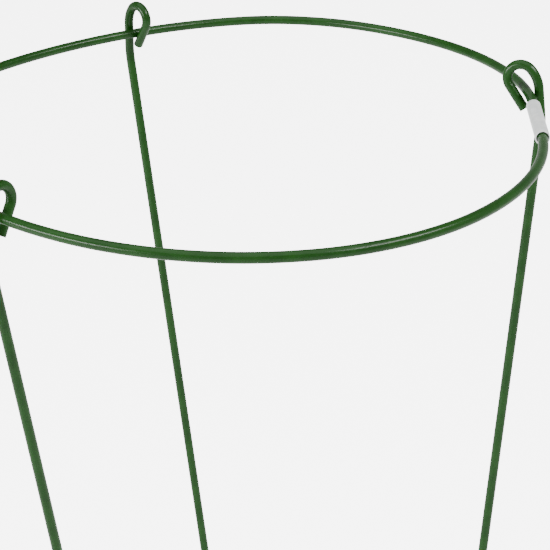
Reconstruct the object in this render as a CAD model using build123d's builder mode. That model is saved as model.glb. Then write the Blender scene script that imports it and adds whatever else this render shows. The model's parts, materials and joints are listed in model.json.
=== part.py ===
from build123d import *
import os
from math import cos, pi, radians, sin, tan

os.makedirs("parts", exist_ok=True)

# ------------------------------------------------------------ driving dimensions, mm and degrees
# wire, the same for the hoop and the legs: a steel core in a plastic jacket
core_radius = 1.6
jacket_wall = 0.4

# hoop: one ring of wire, a little out of round, as a hand-closed ring is
hoop_radius = 128.0  # mean radius of the wire's centre line
hoop_height = 450.0  # centre line above the ground
hoop_arc_count = 18  # equal turns that make up the ring
# out-of-round: waves around the ring, how far each stands out, the direction of its first crest
hoop_waves = ((2, 1.5, -47.5), (3, 2.9, 59.5), (4, 1.9, -4.7), (5, 0.7, 19.9))

# sleeve that joins the ends of the hoop's wire, which lies straight inside it
sleeve_length = 36.0
sleeve_wall = 0.5
sleeve_play = 0.35  # between the jacket and the bore, all round when centred
sleeve_shift = 0.1  # towards the middle of the hoop: the ring springs outwards in the bore
sleeve_slide = 4.2  # clockwise along the wire, from the middle of its straight run
sleeve_edge = 0.15  # rounding of the outer rims
sleeve_direction = -2.6  # the way the sleeve faces, seen from above
end_gap = 0.8  # between the two wire ends inside the sleeve

# legs: name, the way the hoop faces where the leg hangs, inward lean, sideways lean, turn of the hook,
# and how far above the throat of the hook the hoop's wire lies
legs = (
    ("leg_1", 117.9, 7.0, -2.6, 13.6, -1.6),
    ("leg_2", 4.7, 5.7, -2.1, -29.0, 0.9),
    ("leg_3", 226.1, 8.6, -0.5, 6.5, 1.7),
)

# hook at the top of each leg: a flat bend over the hoop, its two sides closing below onto the wire
hook_play = 0.1  # between the hoop and the wire of the hook
throat_turn = 30.0  # largest turn of a hook away from the hoop's radius that it has room for
opening = 14.7  # lean of each side of the hook away from its middle line
shaft_way = 11.4  # lean of the shaft above its neck, towards the tail
shoulder_radius = 12.6  # centre line of the wide bend above the shaft
shoulder_turn = 39.0
crown_radius = 5.7  # centre line of the tight bend above the tail
tail_drop = 4.6  # end of the tail past the throat
neck_depth = 10.9  # small bend in the shaft, below the throat
neck_radius = 40.0

# ------------------------------------------------------------ worked-out sizes
wire_radius = core_radius + jacket_wall
sleeve_bore_radius = wire_radius + sleeve_play
sleeve_radius = sleeve_bore_radius + sleeve_wall
arc_turn = 360.0 / hoop_arc_count
# both sides of the hook pass the hoop's centre line at this distance, measured in the hook's plane
throat = (2 * wire_radius + hook_play) / cos(radians(throat_turn))


def outward(direction):
    return Vector(cos(radians(direction)), sin(radians(direction)), 0)


def along(direction):
    return outward(direction + 90)


def arc_radius(direction):
    # the cosine term closes the ring again past its straight run
    straight_share = sleeve_length / (hoop_arc_count * sin(pi / hoop_arc_count))
    radius = hoop_radius - sleeve_length / (2 * pi)
    radius -= straight_share * cos(radians(direction - sleeve_direction))
    for count, height, crest in hoop_waves:
        radius -= (count**2 - 1) * height * cos(radians(count * (direction - crest)))
    return radius


# ------------------------------------------------------------ the hoop's centre line
# start, facing and radius of each arc, walked once around from the sleeve's middle
arcs = []
walker = along(sleeve_direction) * (sleeve_length / 2)
for number in range(hoop_arc_count):
    facing = sleeve_direction + number * arc_turn
    radius = arc_radius(facing + arc_turn / 2)
    arcs.append((walker, facing, radius))
    walker += (outward(facing + arc_turn) - outward(facing)) * radius

# the ring is placed so that its arcs' ends lie evenly about the vertical axis
ends_x = [start.X for start, facing, radius in arcs]
ends_y = [start.Y for start, facing, radius in arcs]
sleeve_middle = Vector(
    -(min(ends_x) + max(ends_x)) / 2,
    -(min(ends_y) + max(ends_y)) / 2,
    hoop_height,
)


def hoop_point(direction):
    # the point of the centre line where the hoop faces this way
    turn = (direction - sleeve_direction) % 360
    start, facing, radius = arcs[int(turn // arc_turn)]
    return sleeve_middle + start + (outward(direction) - outward(facing)) * radius


half_gap = along(sleeve_direction) * (end_gap / 2)
half_sleeve = along(sleeve_direction) * (sleeve_length / 2)

with BuildLine() as hoop_line:
    Line(sleeve_middle + half_gap, sleeve_middle + half_sleeve)
    for start, facing, radius in arcs:
        JernArc(sleeve_middle + start, along(facing), radius, arc_turn)
    Line(sleeve_middle - half_sleeve, sleeve_middle - half_gap)

hoop_wire_end = Plane(origin=sleeve_middle + half_gap, z_dir=along(sleeve_direction))

# ------------------------------------------------------------ hoop and sleeve
with BuildPart() as hoop_core:
    with BuildSketch(hoop_wire_end):
        Circle(core_radius)
    sweep(path=hoop_line.wire())

with BuildPart() as hoop_coating:
    with BuildSketch(hoop_wire_end):
        Circle(wire_radius)
        Circle(core_radius, mode=Mode.SUBTRACT)
    sweep(path=hoop_line.wire())

sleeve_start = sleeve_middle - half_sleeve - along(sleeve_direction) * sleeve_slide
sleeve_start -= outward(sleeve_direction) * sleeve_shift

with BuildPart() as joint_sleeve:
    with BuildSketch(Plane(origin=sleeve_start, z_dir=along(sleeve_direction))):
        Circle(sleeve_radius)
        Circle(sleeve_bore_radius, mode=Mode.SUBTRACT)
    extrude(amount=sleeve_length)
    rims = joint_sleeve.edges().filter_by(GeomType.CIRCLE).group_by(SortBy.RADIUS)[-1]
    fillet(rims, sleeve_edge)

for piece, name in ((hoop_core, "hoop_core"), (hoop_coating, "hoop_coating"), (joint_sleeve, "joint_sleeve")):
    piece.part.label = name
    export_step(piece.part, f"parts/{name}.step")

# ------------------------------------------------------------ the shape of a leg in its own plane
# X runs from the shaft to the tail, Y up the leg, and 0, 0 is the middle of the hook's throat
def clockwise(vector, turn):
    return vector.rotate(Axis.Z, -turn)


hook_turn = 180 + 2 * opening
shaft_up = Vector(sin(radians(shaft_way)), cos(radians(shaft_way)), 0)
inward = clockwise(shaft_up, 90)  # from the shaft into the hook
to_joint = clockwise(-inward, shoulder_turn)  # from both bends' centres to where they meet
to_tail_side = clockwise(-inward, hook_turn)  # from the crown's centre to the tail
# height of the shoulder's start at which the tail, too, passes the throat's middle at the throat's distance
centre_offset = inward * (shoulder_radius - throat) + to_joint * (shoulder_radius - crown_radius)
shoulder_rise = (throat - crown_radius - centre_offset.dot(to_tail_side)) / shaft_up.dot(to_tail_side)
shoulder_start = shaft_up * shoulder_rise - inward * throat
crown_centre = shaft_up * shoulder_rise + centre_offset
tail_run = tail_drop + crown_centre.dot(clockwise(to_tail_side, -90))
neck_x = shoulder_start.X - (shoulder_start.Y + neck_depth) * tan(radians(shaft_way))
neck_cut = neck_radius * tan(radians(shaft_way) / 2)
middle_way = radians(shaft_way + opening)

for name, direction, lean, side_lean, turn, seat in legs:
    hang = hoop_point(direction)
    up = Vector(0, 0, 1) + outward(direction) * tan(radians(lean)) - along(direction) * tan(radians(side_lean))
    up = up.normalized()
    to_tail = -outward(direction + turn)
    to_tail = (to_tail - up * to_tail.dot(up)).normalized()
    throat_middle = hang - (to_tail * sin(middle_way) + up * cos(middle_way)) * seat
    leg_plane = Plane(origin=throat_middle, x_dir=to_tail, z_dir=to_tail.cross(up))
    # the shaft is cut square, so that the lowest edge of its end touches the ground
    ground_drop = wire_radius * (1 - up.Z**2) ** 0.5
    shaft_length = (throat_middle.Z + to_tail.Z * neck_x - ground_drop) / up.Z

    with BuildLine(leg_plane) as leg_line:
        Line((neck_x, -shaft_length), (neck_x, -neck_depth - neck_cut))
        neck = JernArc((neck_x, -neck_depth - neck_cut), (0, 1), neck_radius, -shaft_way)
        upper = Line(neck @ 1, leg_plane.from_local_coords(shoulder_start))
        shoulder = JernArc(upper @ 1, upper % 1, shoulder_radius, -shoulder_turn)
        crown = JernArc(shoulder @ 1, shoulder % 1, crown_radius, shoulder_turn - hook_turn)
        Line(crown @ 1, crown @ 1 + (crown % 1) * tail_run)

    foot_plane = Plane(origin=leg_plane.from_local_coords(Vector(neck_x, -shaft_length)), z_dir=up)

    with BuildPart() as leg_core:
        with BuildSketch(foot_plane):
            Circle(core_radius)
        sweep(path=leg_line.wire())

    with BuildPart() as leg_coating:
        with BuildSketch(foot_plane):
            Circle(wire_radius)
            Circle(core_radius, mode=Mode.SUBTRACT)
        sweep(path=leg_line.wire())

    leg_core.part.label = f"{name}_core"
    leg_coating.part.label = f"{name}_coating"
    export_step(leg_core.part, f"parts/{name}_core.step")
    export_step(leg_coating.part, f"parts/{name}_coating.step")
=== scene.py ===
import json
import math
import bpy
from mathutils import Matrix, Vector


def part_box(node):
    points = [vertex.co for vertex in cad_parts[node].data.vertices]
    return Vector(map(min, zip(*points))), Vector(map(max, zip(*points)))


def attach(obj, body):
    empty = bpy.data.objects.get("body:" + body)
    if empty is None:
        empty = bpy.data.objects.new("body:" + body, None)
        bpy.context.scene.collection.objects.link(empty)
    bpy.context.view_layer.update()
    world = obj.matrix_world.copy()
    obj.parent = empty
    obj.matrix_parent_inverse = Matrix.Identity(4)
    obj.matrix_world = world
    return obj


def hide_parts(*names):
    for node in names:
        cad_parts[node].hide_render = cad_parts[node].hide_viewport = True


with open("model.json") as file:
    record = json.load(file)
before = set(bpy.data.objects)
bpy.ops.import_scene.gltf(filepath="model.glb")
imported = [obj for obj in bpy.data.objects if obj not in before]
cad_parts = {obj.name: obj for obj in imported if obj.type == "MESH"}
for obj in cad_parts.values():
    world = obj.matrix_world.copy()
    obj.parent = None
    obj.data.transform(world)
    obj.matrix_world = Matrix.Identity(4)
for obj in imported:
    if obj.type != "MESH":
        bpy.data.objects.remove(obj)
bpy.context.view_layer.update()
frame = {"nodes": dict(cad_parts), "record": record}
record = frame["record"]
joints = {joint["child"]: joint for joint in record["behaviour"]["joints"]}
mounts = {mount["name"]: mount for mount in record["mounts"]}

# metres everywhere, in the frame's own coordinates; angles in degrees
wire = {
    "coreRadius": 0.0016,
    "jacketRadius": 0.0020,
    "sides": 40,
    "cutRound": 0.00012,  # rounding of the jacket's cut ends
    "lumpHeight": 0.000016,  # unevenness of the plastic
    "lumpLength": 0.014,
    "foldHeight": 0.000060,  # folds of the plastic on the inner side of tight bends
    "foldPitch": 0.00115,
    "foldFacing": (0.10, 0.34),  # lean towards the bend's centre where folds start, and where they are full
    "foldDip": 0.6,  # how much more the folds sink than rise
    "foldWander": 1.6,
    "foldWanderScale": 420.0,
}

rim = {"segments": 3, "angle": 55}  # how a tube's ends are rounded


# small helpers for node trees

def setSocket(tree, socket, value):
    if isinstance(value, bpy.types.NodeSocket):
        tree.links.new(value, socket)
    else:
        socket.default_value = value


def addNode(tree, kind, values=None, **settings):
    node = tree.nodes.new(kind)
    for name, value in settings.items():
        setattr(node, name, value)
    for name, value in (values or {}).items():
        setSocket(tree, node.inputs[name], value)
    return node


def calculate(tree, operation, *values):
    node = addNode(tree, "ShaderNodeMath", operation=operation)
    for socket, value in zip(node.inputs, values):
        setSocket(tree, socket, value)
    return node.outputs[0]


def addSocket(tree, name, kind, value=None, direction="INPUT"):
    socket = tree.interface.new_socket(name, in_out=direction, socket_type=kind)
    if value is not None:
        socket.default_value = value


def store(tree, geometry, name, value, kind):
    return addNode(
        tree, "GeometryNodeStoreNamedAttribute",
        {"Geometry": geometry, "Name": name, "Value": value}, data_type=kind, domain="POINT",
    ).outputs[0]


def read(tree, name, kind):
    return addNode(tree, "GeometryNodeInputNamedAttribute", {"Name": name}, data_type=kind).outputs[0]


# a tube that follows a centre line

def buildTubeTree():
    tree = bpy.data.node_groups.new("tubeAlongLine", "GeometryNodeTree")
    addSocket(tree, "Geometry", "NodeSocketGeometry")
    addSocket(tree, "Tube Radius", "NodeSocketFloat", wire["jacketRadius"])
    addSocket(tree, "Sides", "NodeSocketInt", wire["sides"])
    addSocket(tree, "Lump Height", "NodeSocketFloat", wire["lumpHeight"])
    addSocket(tree, "Lump Length", "NodeSocketFloat", wire["lumpLength"])
    addSocket(tree, "Fold Height", "NodeSocketFloat", wire["foldHeight"])
    addSocket(tree, "Fold Pitch", "NodeSocketFloat", wire["foldPitch"])
    addSocket(tree, "Seed", "NodeSocketFloat", 1.0)
    addSocket(tree, "Finish", "NodeSocketMaterial")
    addSocket(tree, "Geometry", "NodeSocketGeometry", direction="OUTPUT")
    given = tree.nodes.new("NodeGroupInput").outputs

    line = addNode(tree, "GeometryNodeMeshToCurve", {"Mesh": given["Geometry"]}).outputs[0]
    walked = tree.nodes.new("GeometryNodeSplineParameter").outputs["Length"]
    line = store(tree, line, "alongTube", walked, "FLOAT")
    circle = addNode(
        tree, "GeometryNodeCurvePrimitiveCircle",
        {"Resolution": given["Sides"], "Radius": given["Tube Radius"]},
    ).outputs["Curve"]
    ring = tree.nodes.new("GeometryNodeInputPosition").outputs[0]
    circle = store(tree, circle, "roundTube", ring, "FLOAT_VECTOR")
    tube = addNode(tree, "GeometryNodeCurveToMesh", {"Curve": line, "Profile Curve": circle}).outputs[0]

    normal = tree.nodes.new("GeometryNodeInputNormal").outputs[0]
    place = tree.nodes.new("GeometryNodeInputPosition").outputs[0]
    along = read(tree, "alongTube", "FLOAT")
    bend = read(tree, "bendTo", "FLOAT_VECTOR")

    # slow unevenness of the surface
    lumpScale = calculate(tree, "DIVIDE", 1.0, given["Lump Length"])
    lumps = addNode(
        tree, "ShaderNodeTexNoise",
        {"Vector": place, "W": given["Seed"], "Scale": lumpScale, "Detail": 1.0}, noise_dimensions="4D",
    ).outputs[0]
    lumps = calculate(tree, "MULTIPLY", calculate(tree, "SUBTRACT", lumps, 0.5), 2.0)
    lumps = calculate(tree, "MULTIPLY", lumps, given["Lump Height"])

    # folds where the tube is pressed together, on the inner side of a bend
    facing = addNode(tree, "ShaderNodeVectorMath", {0: normal, 1: bend}, operation="DOT_PRODUCT")
    start, full = wire["foldFacing"]
    innerFoldsAndShade = addNode(
        tree, "ShaderNodeMapRange",
        {"Value": facing.outputs["Value"], "From Min": start, "From Max": full},
        interpolation_type="SMOOTHSTEP",
    ).outputs[0]
    wander = addNode(
        tree, "ShaderNodeTexNoise",
        {"Vector": place, "W": given["Seed"], "Scale": wire["foldWanderScale"], "Detail": 1.0},
        noise_dimensions="4D",
    ).outputs[0]
    turns = calculate(tree, "DIVIDE", along, given["Fold Pitch"])
    turns = calculate(tree, "ADD", turns, calculate(tree, "MULTIPLY", wander, wire["foldWander"]))
    folds = calculate(tree, "SINE", calculate(tree, "MULTIPLY", turns, 2 * math.pi))
    folds = calculate(tree, "MULTIPLY", calculate(tree, "SUBTRACT", folds, wire["foldDip"]), innerFoldsAndShade)
    folds = calculate(tree, "MULTIPLY", folds, given["Fold Height"])

    rise = calculate(tree, "ADD", lumps, folds)
    offset = addNode(tree, "ShaderNodeVectorMath", {0: normal, "Scale": rise}, operation="SCALE").outputs[0]
    tube = addNode(tree, "GeometryNodeSetPosition", {"Geometry": tube, "Offset": offset}).outputs[0]
    # the fold mask is kept on the tube, where the plastic's finish uses it for painted shade in the folds
    tube = store(tree, tube, "innerBendShade", innerFoldsAndShade, "FLOAT")
    tube = addNode(tree, "GeometryNodeSetShadeSmooth", {"Geometry": tube}).outputs[0]
    tube = addNode(tree, "GeometryNodeRealizeInstances", {"Geometry": tube}).outputs[0]
    tube = addNode(tree, "GeometryNodeSetMaterial", {"Geometry": tube, "Material": given["Finish"]}).outputs[0]
    tree.links.new(tube, tree.nodes.new("NodeGroupOutput").inputs[0])
    return tree


# line is a list of points, each with a vector towards the centre of its bend
def makeTube(name, line, finish, tree, wall, rimRound, inputs):
    mesh = bpy.data.meshes.new(name + "Line")
    mesh.from_pydata([point for point, bend in line], [(i, i + 1) for i in range(len(line) - 1)], [])
    bends = mesh.attributes.new("bendTo", "FLOAT_VECTOR", "POINT")
    for i, (point, bend) in enumerate(line):
        bends.data[i].vector = bend
    helper = bpy.data.objects.new(name + "Line", mesh)
    bpy.context.collection.objects.link(helper)
    modifier = helper.modifiers.new("tube", "NODES")
    modifier.node_group = tree
    sockets = {item.name: item.identifier for item in tree.interface.items_tree if item.in_out == "INPUT"}
    for label, value in {**inputs, "Finish": finish}.items():
        modifier[sockets[label]] = value
    hollow = helper.modifiers.new("wall", "SOLIDIFY")
    hollow.thickness = wall
    hollow.offset = -1  # the wall grows inwards
    rims = helper.modifiers.new("rims", "BEVEL")
    rims.width = rimRound
    rims.segments = rim["segments"]
    rims.limit_method = "ANGLE"
    rims.angle_limit = math.radians(rim["angle"])
    final = bpy.data.meshes.new_from_object(helper.evaluated_get(bpy.context.evaluated_depsgraph_get()))
    final.name = name
    bpy.data.objects.remove(helper)
    bpy.data.meshes.remove(mesh)
    piece = bpy.data.objects.new(name, final)
    bpy.context.collection.objects.link(piece)
    return piece


# centre lines, walked as straight runs and arcs

def heading(degrees):
    return Vector((math.cos(math.radians(degrees)), math.sin(math.radians(degrees)), 0))


class Walk:
    # in the XY plane, kept as steps of a point and its bend; a positive turn is to the left
    def __init__(self, start, way):
        self.place = start.copy()
        self.way = way
        self.steps = [(start.copy(), Vector((0, 0, 0)))]

    def straight(self, length, step):
        count = max(1, round(length / step))
        for i in range(count):
            self.place = self.place + heading(self.way) * (length / count)
            self.steps.append((self.place.copy(), Vector((0, 0, 0))))

    def arc(self, radius, turn, step):
        side = 1 if turn > 0 else -1
        centre = self.place + heading(self.way + 90 * side) * radius
        count = max(2, round(radius * math.radians(abs(turn)) / step))
        for i in range(count):
            self.way += turn / count
            toCentre = heading(self.way + 90 * side)
            self.place = centre - toCentre * radius
            self.steps.append((self.place.copy(), toCentre * (wire["jacketRadius"] / radius)))


# the hoop's line

hoop = {
    "radius": 0.128,  # mean radius of the wire's centre line
    "arcs": 18,
    "straight": 0.036,  # the run inside the sleeve
    "facing": -2.6,  # the way the sleeve faces
    "endGap": 0.0008,
    # out-of-round: waves around the ring, their height and the direction of their first crest
    "waves": ((2, 0.0015, -47.5), (3, 0.0029, 59.5), (4, 0.0019, -4.7), (5, 0.0007, 19.9)),
    "step": 0.0015,
    "seed": 1.0,
}

sleeve = {
    "length": 0.036,
    "wall": 0.0005,
    "play": 0.00035,  # between the jacket and the bore
    "shift": 0.0001,  # towards the middle of the hoop
    "slide": 0.0042,  # clockwise along the wire, from the middle of its straight run
    "edge": 0.00015,
    "outOfRound": 0.00003,
    "outOfRoundLength": 0.006,
    "sides": 64,
    "steps": 24,
    "seed": 9.0,
}


def arcRadius(direction):
    share = hoop["straight"] / (hoop["arcs"] * math.sin(math.pi / hoop["arcs"]))
    radius = hoop["radius"] - hoop["straight"] / (2 * math.pi)
    radius -= share * math.cos(math.radians(direction - hoop["facing"]))
    for count, height, crest in hoop["waves"]:
        radius -= (count**2 - 1) * height * math.cos(math.radians(count * (direction - crest)))
    return radius


def sleeveCentre():
    low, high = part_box("joint_sleeve")
    return (Vector(low) + Vector(high)) / 2


def straightCentre():
    # the middle of the wire's straight run, beside the middle of the sleeve
    facing = heading(hoop["facing"])
    way = heading(hoop["facing"] + 90)
    return sleeveCentre() + facing * sleeve["shift"] + way * sleeve["slide"]


def hoopLine():
    turn = 360 / hoop["arcs"]
    half = hoop["straight"] / 2 - hoop["endGap"] / 2
    way = hoop["facing"] + 90
    walk = Walk(straightCentre() + heading(way) * (hoop["endGap"] / 2), way)
    walk.straight(half, hoop["step"])
    for i in range(hoop["arcs"]):
        walk.arc(arcRadius(hoop["facing"] + (i + 0.5) * turn), turn, hoop["step"])
    walk.straight(half, hoop["step"])
    return walk.steps


# the legs' lines

hook = {
    "throat": 0.0041 / math.cos(math.radians(30)),  # from the hook's middle line to either side
    "opening": 14.7,
    "shaftWay": 11.4,
    "shoulderRadius": 0.0126,
    "shoulderTurn": 39.0,
    "crownRadius": 0.0057,
    "tailDrop": 0.0046,
    "neckDepth": 0.0109,
    "neckRadius": 0.040,
    "bendStep": 0.00022,  # fine enough for the folds
    "straightStep": 0.0006,
    "shaftStep": 0.0025,
    "firstSeed": 2.0,
}


def turned(vector, clockwise):
    return Matrix.Rotation(-math.radians(clockwise), 3, "Z") @ vector


def hookShape():
    # where the shoulder starts, with the throat's middle at 0, 0, and how long the tail is
    up = heading(90 - hook["shaftWay"])
    inward = turned(up, 90)
    toJoint = turned(-inward, hook["shoulderTurn"])
    toTail = turned(-inward, 180 + 2 * hook["opening"])
    offset = inward * (hook["shoulderRadius"] - hook["throat"])
    offset += toJoint * (hook["shoulderRadius"] - hook["crownRadius"])
    rise = (hook["throat"] - hook["crownRadius"] - offset.dot(toTail)) / up.dot(toTail)
    start = up * rise - inward * hook["throat"]
    crown = up * rise + offset
    return start, hook["tailDrop"] + crown.dot(turned(toTail, -90))


def legLine(body):
    start, tail = hookShape()
    slope = math.tan(math.radians(hook["shaftWay"]))
    neckX = start.x - (start.y + hook["neckDepth"]) * slope
    cut = hook["neckRadius"] * math.tan(math.radians(hook["shaftWay"] / 2))
    shank = mounts[body + "_shank"]
    up = -Vector(shank["axis"]).normalized()
    length = shank["dims"]["length_mm"] / 1000
    foot = Vector(shank["pos_m"]) - up * (length / 2)
    walk = Walk(Vector((neckX, -hook["neckDepth"] - cut - length, 0)), 90)
    walk.straight(length, hook["shaftStep"])
    walk.arc(hook["neckRadius"], -hook["shaftWay"], hook["straightStep"])
    walk.straight((start - walk.place).length, hook["straightStep"])
    walk.arc(hook["shoulderRadius"], -hook["shoulderTurn"], hook["bendStep"])
    walk.arc(hook["crownRadius"], hook["shoulderTurn"] - 180 - 2 * hook["opening"], hook["bendStep"])
    walk.straight(tail, hook["straightStep"])
    # the hook's plane holds the shank and the point of the hoop that the leg swings about
    toHoop = Vector(joints[body]["pos_m"]) - foot
    side = (toHoop - up * toHoop.dot(up)).normalized()
    first = walk.steps[0][0]
    origin = foot - side * first.x - up * first.y
    return [
        (origin + side * point.x + up * point.y, side * bend.x + up * bend.y)
        for point, bend in walk.steps
    ]


# finishes

def newMaterial(name, fixed):
    material = bpy.data.materials.new(name)
    material.use_nodes = True
    tree = material.node_tree
    shader = tree.nodes["Principled BSDF"]
    for label, value in fixed.items():
        shader.inputs[label].default_value = value
    return material, tree, shader


def noise(tree, vector, scale, detail=3.0, roughness=0.55):
    return addNode(
        tree, "ShaderNodeTexNoise",
        {"Vector": vector, "Scale": scale, "Detail": detail, "Roughness": roughness},
    ).outputs[0]


def remap(tree, value, low, high, outLow, outHigh):
    return addNode(
        tree, "ShaderNodeMapRange",
        {"Value": value, "From Min": low, "From Max": high, "To Min": outLow, "To Max": outHigh},
        interpolation_type="SMOOTHSTEP",
    ).outputs[0]


def mixColours(tree, amount, first, second):
    node = addNode(tree, "ShaderNodeMix", data_type="RGBA")
    for index, value in ((0, amount), (6, first), (7, second)):  # the colour sockets of a mix
        setSocket(tree, node.inputs[index], value)
    return node.outputs[2]


def onPiece(tree):
    return tree.nodes.new("ShaderNodeTexCoord").outputs["Object"]


def buildHandling():
    # scuffs and a thin film of dust, shared by the plastic and the metals
    tree = bpy.data.node_groups.new("handling", "ShaderNodeTree")
    addSocket(tree, "Place", "NodeSocketVector")
    addSocket(tree, "Scuff Scale", "NodeSocketFloat", 220.0)
    addSocket(tree, "Dust Scale", "NodeSocketFloat", 60.0)
    addSocket(tree, "Amount", "NodeSocketFloat", 0.5)
    for name in ("Scuffs", "Dust"):
        addSocket(tree, name, "NodeSocketFloat", direction="OUTPUT")
    given = tree.nodes.new("NodeGroupInput").outputs
    out = tree.nodes.new("NodeGroupOutput")
    fine = noise(tree, given["Place"], given["Scuff Scale"], 6.0, 0.7)
    patches = noise(tree, given["Place"], given["Dust Scale"], 2.0)
    marks = remap(tree, fine, 0.56, 0.70, 0.0, 1.0)
    scuffs = calculate(tree, "MULTIPLY", marks, remap(tree, patches, 0.45, 0.65, 0.0, 1.0))
    normal = tree.nodes.new("ShaderNodeNewGeometry").outputs["Normal"]
    upward = addNode(tree, "ShaderNodeSeparateXYZ", {0: normal}).outputs[2]
    film = calculate(tree, "MULTIPLY", remap(tree, upward, 0.0, 1.0, 0.0, 1.0), patches)
    tree.links.new(calculate(tree, "MULTIPLY", scuffs, given["Amount"]), out.inputs["Scuffs"])
    tree.links.new(calculate(tree, "MULTIPLY", film, given["Amount"]), out.inputs["Dust"])
    return tree


def addHandling(tree, group, place, amount, scuffScale):
    node = addNode(tree, "ShaderNodeGroup", node_tree=group)
    tree.links.new(place, node.inputs["Place"])
    node.inputs["Amount"].default_value = amount
    node.inputs["Scuff Scale"].default_value = scuffScale
    return node.outputs


def drawnLines(tree, scale, detail, stretch):
    # faint lines along a tube, from how it was drawn or pressed
    along = addNode(tree, "ShaderNodeAttribute", attribute_name="alongTube").outputs["Fac"]
    ring = addNode(tree, "ShaderNodeAttribute", attribute_name="roundTube").outputs["Vector"]
    stretched = addNode(tree, "ShaderNodeCombineXYZ", {2: calculate(tree, "MULTIPLY", along, stretch)})
    drawn = addNode(tree, "ShaderNodeVectorMath", {0: ring, 1: stretched.outputs[0]}, operation="ADD")
    return noise(tree, drawn.outputs[0], scale, detail)


def addBump(tree, shader, height, strength, depth):
    bump = addNode(tree, "ShaderNodeBump", {"Height": height, "Strength": strength, "Distance": depth})
    tree.links.new(bump.outputs[0], shader.inputs["Normal"])


green = {
    "deep": (0.0050, 0.037, 0.0030, 1),
    "light": (0.0085, 0.050, 0.0052, 1),
    "dust": (0.10, 0.14, 0.09, 1),
    "scuff": (0.045, 0.11, 0.04, 1),
    "roughness": (0.22, 0.30),
    "scuffedRoughness": 0.15,
    "ior": 1.34,
    "specular": 0.36,
    "handling": 0.55,
    "scuffScale": 220.0,
    "mottleScale": 90.0,
    "roughScale": 320.0,
    "lineScale": 2400.0,
    "lineStretch": 0.012,
    "grainScale": 2600.0,
    "bump": 0.10,
    "bumpDepth": 0.00004,
    # the first share is painted shade: how much darker the folds on the insides of bends are painted
    "shares": {"innerFoldsAndShade": 0.35, "dust": 0.10, "scuff": 0.30, "lines": 0.7, "grain": 0.3},
}

zinc = {
    "base": (0.78, 0.81, 0.80, 1),
    "worn": (0.93, 0.95, 0.94, 1),
    "stain": (0.42, 0.45, 0.44, 1),
    "roughness": (0.46, 0.60),
    "metallic": (0.35, 0.6),
    "handling": 0.7,
    "scuffScale": 400.0,
    "cloudScale": 260.0,
    "lineScale": 3000.0,
    "lineStretch": 0.03,
    "grainScale": 3500.0,
    "bump": 0.3,
    "bumpDepth": 0.00004,
    "shares": {"stain": 0.60, "lines": 0.6, "grain": 0.4},
}

steel = {
    "base": (0.44, 0.43, 0.42, 1),
    "rust": (0.20, 0.10, 0.05, 1),
    "roughness": (0.28, 0.45),
    "metallic": (1.0, 0.35),  # clean, rusty
    "rustMost": 0.8,
    "handling": 1.0,
    "scuffScale": 900.0,
    "rustScale": 1400.0,
    "cutMarks": (6000.0, 900.0, 900.0),  # finer across the cut than along it
    "bump": 0.4,
    "bumpDepth": 0.00005,
}


def blend(tree, first, second, shares):
    # a relief of drawn lines and grain
    lines = calculate(tree, "MULTIPLY", first, shares["lines"])
    return calculate(tree, "ADD", lines, calculate(tree, "MULTIPLY", second, shares["grain"]))


def makeGreenPlastic(handling):
    fixed = {"IOR": green["ior"], "Specular IOR Level": green["specular"]}
    material, tree, shader = newMaterial("greenPlastic", fixed)
    place = onPiece(tree)
    shares = green["shares"]
    marks = addHandling(tree, handling, place, green["handling"], green["scuffScale"])
    # painted shade: the folds on the insides of bends are painted darker, towards the deep green
    innerFoldsAndShade = addNode(tree, "ShaderNodeAttribute", attribute_name="innerBendShade").outputs["Fac"]
    mottle = remap(tree, noise(tree, place, green["mottleScale"]), 0.35, 0.65, 0.0, 1.0)
    colour = mixColours(tree, mottle, green["deep"], green["light"])
    colour = mixColours(tree, calculate(tree, "MULTIPLY", innerFoldsAndShade, shares["innerFoldsAndShade"]), colour, green["deep"])
    colour = mixColours(tree, calculate(tree, "MULTIPLY", marks["Dust"], shares["dust"]), colour, green["dust"])
    scuffed = calculate(tree, "MULTIPLY", marks["Scuffs"], shares["scuff"])
    colour = mixColours(tree, scuffed, colour, green["scuff"])
    tree.links.new(colour, shader.inputs["Base Color"])
    rough = remap(tree, noise(tree, place, green["roughScale"]), 0.3, 0.7, *green["roughness"])
    dulled = calculate(tree, "MULTIPLY", marks["Scuffs"], green["scuffedRoughness"])
    tree.links.new(calculate(tree, "ADD", rough, dulled), shader.inputs["Roughness"])
    lines = drawnLines(tree, green["lineScale"], 2.0, green["lineStretch"])
    relief = blend(tree, lines, noise(tree, place, green["grainScale"], 2.0), shares)
    addBump(tree, shader, relief, green["bump"], green["bumpDepth"])
    return material


def makeZinc(handling):
    material, tree, shader = newMaterial("sleeveZinc", {})
    place = onPiece(tree)
    marks = addHandling(tree, handling, place, zinc["handling"], zinc["scuffScale"])
    clouds = noise(tree, place, zinc["cloudScale"], 4.0, 0.65)
    colour = mixColours(tree, remap(tree, clouds, 0.40, 0.68, 0.0, 1.0), zinc["base"], zinc["worn"])
    stained = calculate(tree, "MULTIPLY", marks["Scuffs"], zinc["shares"]["stain"])
    colour = mixColours(tree, stained, colour, zinc["stain"])
    tree.links.new(colour, shader.inputs["Base Color"])
    tree.links.new(remap(tree, clouds, 0.3, 0.7, *zinc["roughness"]), shader.inputs["Roughness"])
    tree.links.new(remap(tree, clouds, 0.35, 0.65, *zinc["metallic"]), shader.inputs["Metallic"])
    lines = drawnLines(tree, zinc["lineScale"], 3.0, zinc["lineStretch"])
    relief = blend(tree, lines, noise(tree, place, zinc["grainScale"], 2.0), zinc["shares"])
    addBump(tree, shader, relief, zinc["bump"], zinc["bumpDepth"])
    return material


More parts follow.
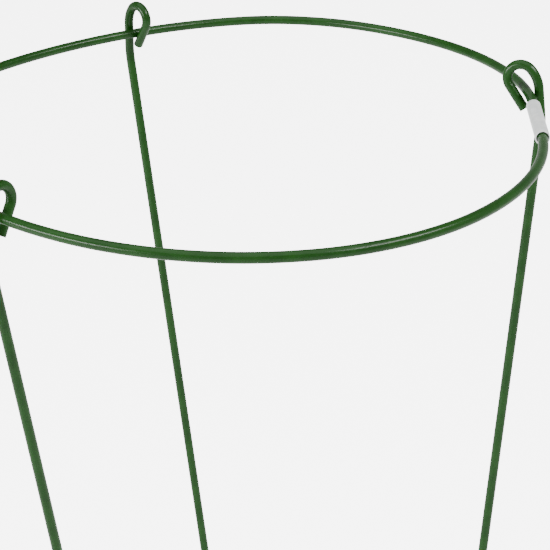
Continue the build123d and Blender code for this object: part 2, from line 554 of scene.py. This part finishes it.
def makeSteel(handling):
    material, tree, shader = newMaterial("bareSteel", {})
    place = onPiece(tree)
    marks = addHandling(tree, handling, place, steel["handling"], steel["scuffScale"])
    most = steel["rustMost"]
    spots = remap(tree, noise(tree, place, steel["rustScale"], 4.0, 0.7), 0.50, 0.68, 0.0, most)
    tree.links.new(mixColours(tree, spots, steel["base"], steel["rust"]), shader.inputs["Base Color"])
    tree.links.new(remap(tree, spots, 0.0, most, *steel["metallic"]), shader.inputs["Metallic"])
    rough = calculate(tree, "ADD", remap(tree, spots, 0.0, most, *steel["roughness"]), marks["Scuffs"])
    tree.links.new(rough, shader.inputs["Roughness"])
    squeezed = addNode(tree, "ShaderNodeMapping", {"Vector": place, "Scale": steel["cutMarks"]}).outputs[0]
    addBump(tree, shader, noise(tree, squeezed, 1.0, 2.0), steel["bump"], steel["bumpDepth"])
    return material


handling = buildHandling()
greenPlastic = makeGreenPlastic(handling)
sleeveZinc = makeZinc(handling)
bareSteel = makeSteel(handling)
print("finishes made")

# the pieces

tubeTree = buildTubeTree()


def makeJacket(body, line, seed):
    inputs = {"Tube Radius": wire["jacketRadius"], "Sides": wire["sides"], "Seed": seed}
    wall = wire["jacketRadius"] - wire["coreRadius"]
    piece = makeTube(body + "_jacket", line, greenPlastic, tubeTree, wall, wire["cutRound"], inputs)
    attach(piece, body)
    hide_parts(body + "_coating")


def makeSleeve():
    way = heading(hoop["facing"] + 90)
    shares = [i / sleeve["steps"] - 0.5 for i in range(sleeve["steps"] + 1)]
    line = [(sleeveCentre() + way * sleeve["length"] * share, Vector((0, 0, 0))) for share in shares]
    inputs = {
        "Tube Radius": wire["jacketRadius"] + sleeve["play"] + sleeve["wall"],
        "Sides": sleeve["sides"],
        "Seed": sleeve["seed"],
        "Lump Height": sleeve["outOfRound"],
        "Lump Length": sleeve["outOfRoundLength"],
    }
    piece = makeTube("sleeve_tube", line, sleeveZinc, tubeTree, sleeve["wall"], sleeve["edge"], inputs)
    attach(piece, "hoop")
    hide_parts("joint_sleeve")


makeJacket("hoop", hoopLine(), hoop["seed"])
print("hoop made")

legNames = [name for name in record["behaviour"]["bodies"] if name.startswith("leg_")]
for number, name in enumerate(legNames):
    makeJacket(name, legLine(name), hook["firstSeed"] + number)
print("legs made")

makeSleeve()
print("sleeve made")

for name, node in frame["nodes"].items():
    if name.endswith("_core"):
        node.data.materials.clear()
        node.data.materials.append(bareSteel)
print("wire cores finished")

# floor, light and camera

studio = {
    "floorSize": 40.0,
    "paperDark": (0.86, 0.86, 0.86, 1),
    "paperLight": (0.90, 0.90, 0.90, 1),
    "paperCloudScale": 3.0,
    "paperRoughness": 0.9,
    "paperGlow": 0.4,
    "paperSeen": 5.0,
    "world": (1.0, 1.0, 1.0, 1),
    "horizonStrength": 0.8,
    "zenithStrength": 0.14,
    "horizonTop": 0.7,  # height on the sky's dome where the horizon's light has faded
    "lights": (
        # name, place, aim, width, height, power
        ("overhead", (-0.4, -0.3, 2.6), (0, 0, 0.3), 3.2, 3.2, 60),
        ("left", (-1.89, -0.86, 0.78), (0, 0, 0.45), 1.4, 0.4, 52),
        ("right", (1.29, -0.69, 1.91), (0, 0, 0.45), 1.4, 0.4, 52),
    ),
}

view = {
    "place": (0.01962, -0.65847, 0.68758),
    "pitch": 24.91,
    "roll": -1.39,
    "lens": 115.93,
    "nearest": 0.01,
}


def makePaper():
    fixed = {"Roughness": studio["paperRoughness"], "Emission Color": (1, 1, 1, 1)}
    material, tree, shader = newMaterial("palePaper", fixed)
    clouds = noise(tree, onPiece(tree), studio["paperCloudScale"], 2.0)
    colour = mixColours(tree, clouds, studio["paperDark"], studio["paperLight"])
    tree.links.new(colour, shader.inputs["Base Color"])
    # lit from below like a light table, and brighter to look at than as a light
    seen = tree.nodes.new("ShaderNodeLightPath").outputs["Is Camera Ray"]
    glow = calculate(tree, "ADD", studio["paperGlow"], calculate(tree, "MULTIPLY", seen, studio["paperSeen"]))
    tree.links.new(glow, shader.inputs["Emission Strength"])
    return material


def makeFloor():
    size = studio["floorSize"] / 2
    mesh = bpy.data.meshes.new("floor")
    corners = [(-size, -size, 0), (size, -size, 0), (size, size, 0), (-size, size, 0)]
    mesh.from_pydata(corners, [], [(0, 1, 2, 3)])
    mesh.materials.append(makePaper())
    floor = bpy.data.objects.new("floor", mesh)
    bpy.context.collection.objects.link(floor)


def makeLight():
    world = bpy.data.worlds.new("softWhite")
    world.use_nodes = True
    sky = world.node_tree
    sky.nodes["Background"].inputs["Color"].default_value = studio["world"]
    way = sky.nodes.new("ShaderNodeTexCoord").outputs["Generated"]
    upward = addNode(sky, "ShaderNodeSeparateXYZ", {0: way}).outputs[2]
    glow = remap(sky, upward, 0.0, studio["horizonTop"], studio["horizonStrength"], studio["zenithStrength"])
    sky.links.new(glow, sky.nodes["Background"].inputs["Strength"])
    bpy.context.scene.world = world
    for name, place, aim, width, height, power in studio["lights"]:
        light = bpy.data.lights.new(name, "AREA")
        light.shape = "RECTANGLE"
        light.size = width
        light.size_y = height
        light.energy = power
        lamp = bpy.data.objects.new(name, light)
        lamp.location = place
        lamp.rotation_euler = (Vector(aim) - Vector(place)).to_track_quat("-Z", "Y").to_euler()
        bpy.context.collection.objects.link(lamp)


def makeCamera():
    data = bpy.data.cameras.new("camera")
    data.lens = view["lens"]
    data.clip_start = view["nearest"]
    camera = bpy.data.objects.new("camera", data)
    turn = Matrix.Rotation(math.radians(90 - view["pitch"]), 4, "X")
    turn = turn @ Matrix.Rotation(math.radians(view["roll"]), 4, "Z")
    camera.matrix_world = Matrix.Translation(view["place"]) @ turn
    bpy.context.collection.objects.link(camera)
    bpy.context.scene.camera = camera


makeFloor()
makeLight()
makeCamera()
print("studio made")
